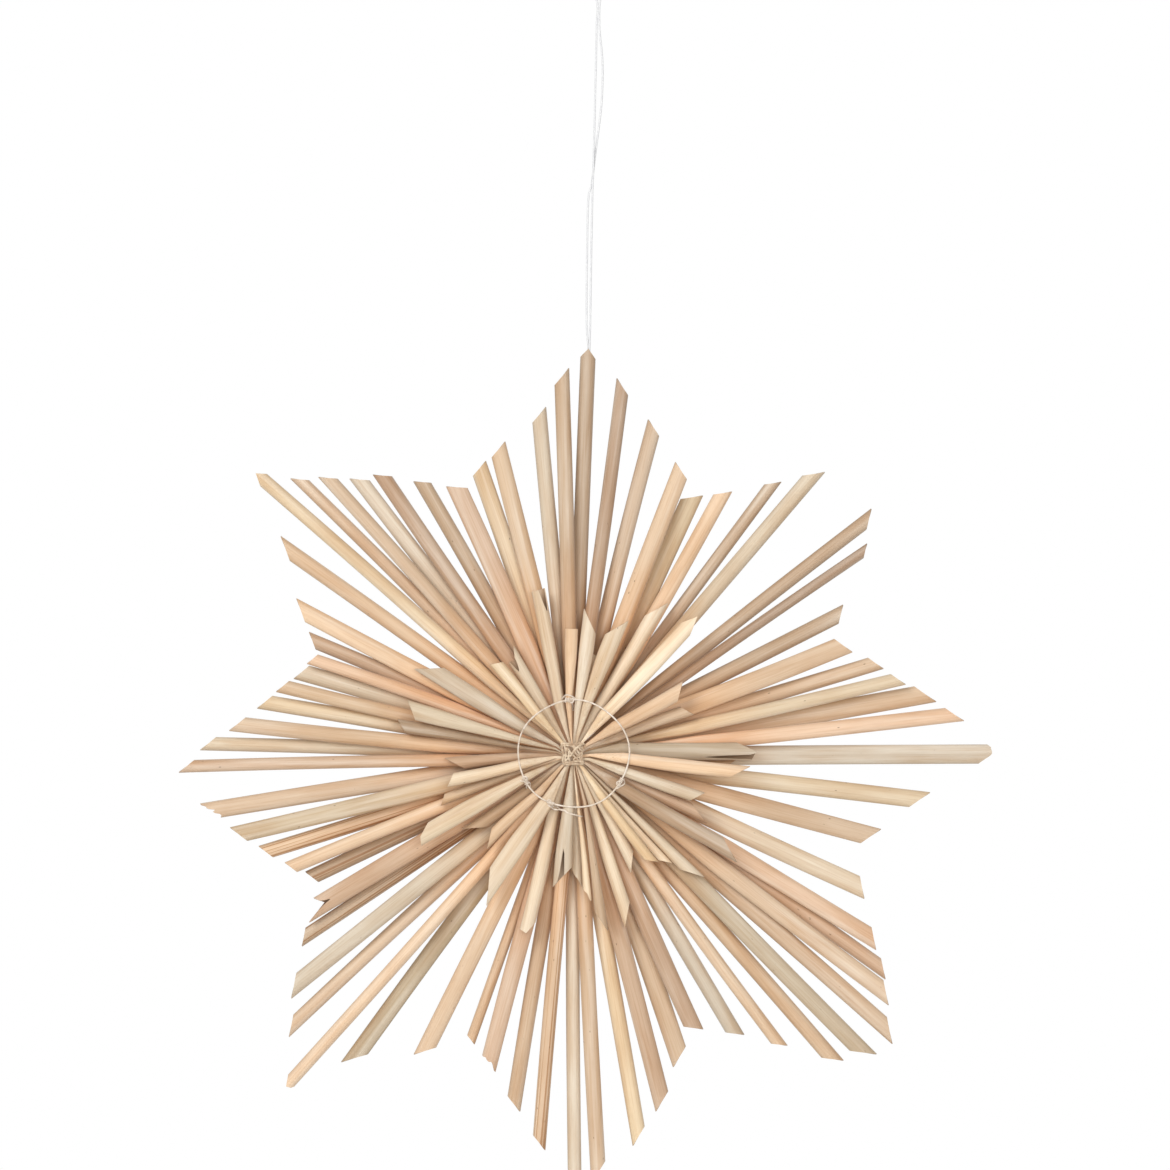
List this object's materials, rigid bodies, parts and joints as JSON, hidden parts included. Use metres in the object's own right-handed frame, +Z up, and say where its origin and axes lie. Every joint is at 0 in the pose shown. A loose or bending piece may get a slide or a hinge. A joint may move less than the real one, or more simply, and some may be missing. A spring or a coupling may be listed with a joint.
{
  "type": "straw star ornament",
  "caption": "Flat pointed star of natural straws crossed and bound at the middle, with a smaller star of short straws in front, hung by a doubled thread.",
  "frame": {"origin": "top of the hanging thread's loop, where a hook bears on it", "axes": "+Z up, the star in the XZ plane, its front with the short straws facing -Y, +X to the right as seen from the front"},
  "size_m": [0.3256, 0.0248, 0.4802],
  "materials": {
    "straw_tan": "natural dry straw, satin",
    "straw_pinkish": "natural dry straw, satin",
    "straw_yellowish": "natural dry straw, satin",
    "straw_cream": "natural dry straw, satin",
    "binding_thread": "matte twisted thread",
    "hanging_thread": "matte twisted thread"
  },
  "bodies": {
    "root": {"long_straw_01": "straw_tan", "long_straw_02": "straw_pinkish", "long_straw_03": "straw_tan", "long_straw_04": "straw_tan", "long_straw_05": "straw_yellowish", "long_straw_06": "straw_tan", "long_straw_07": "straw_tan", "long_straw_08": "straw_cream", "long_straw_09": "straw_tan", "long_straw_10": "straw_pinkish", "long_straw_11": "straw_tan", "long_straw_12": "straw_tan", "long_straw_13": "straw_tan", "long_straw_14": "straw_yellowish", "long_straw_15": "straw_tan", "long_straw_16": "straw_pinkish", "long_straw_17": "straw_cream", "long_straw_18": "straw_tan", "long_straw_19": "straw_yellowish", "long_straw_20": "straw_tan", "long_straw_21": "straw_cream", "long_straw_22": "straw_pinkish", "long_straw_23": "straw_pinkish", "long_straw_24": "straw_tan", "long_straw_25": "straw_tan", "long_straw_26": "straw_yellowish", "long_straw_27": "straw_tan", "long_straw_28": "straw_tan", "long_straw_29": "straw_cream", "long_straw_30": "straw_pinkish", "long_straw_31": "straw_tan", "long_straw_32": "straw_pinkish", "long_straw_33": "straw_yellowish", "long_straw_34": "straw_tan", "long_straw_35": "straw_cream", "long_straw_36": "straw_tan", "short_straw_01": "straw_cream", "short_straw_02": "straw_cream", "short_straw_03": "straw_cream", "short_straw_04": "straw_cream", "short_straw_05": "straw_cream", "short_straw_06": "straw_tan", "short_straw_07": "straw_tan", "short_straw_08": "straw_cream", "short_straw_09": "straw_tan", "short_straw_10": "straw_cream", "short_straw_11": "straw_pinkish", "short_straw_12": "straw_tan", "short_straw_13": "straw_cream", "short_straw_14": "straw_cream", "short_straw_15": "straw_yellowish", "short_straw_16": "straw_cream", "short_straw_17": "straw_cream", "short_straw_18": "straw_tan", "ring_thread_front": "binding_thread", "ring_thread_back": "binding_thread", "centre_tie_front": "binding_thread", "centre_tie_back": "binding_thread", "hanging_thread": "hanging_thread"}
  },
  "joints": []
}
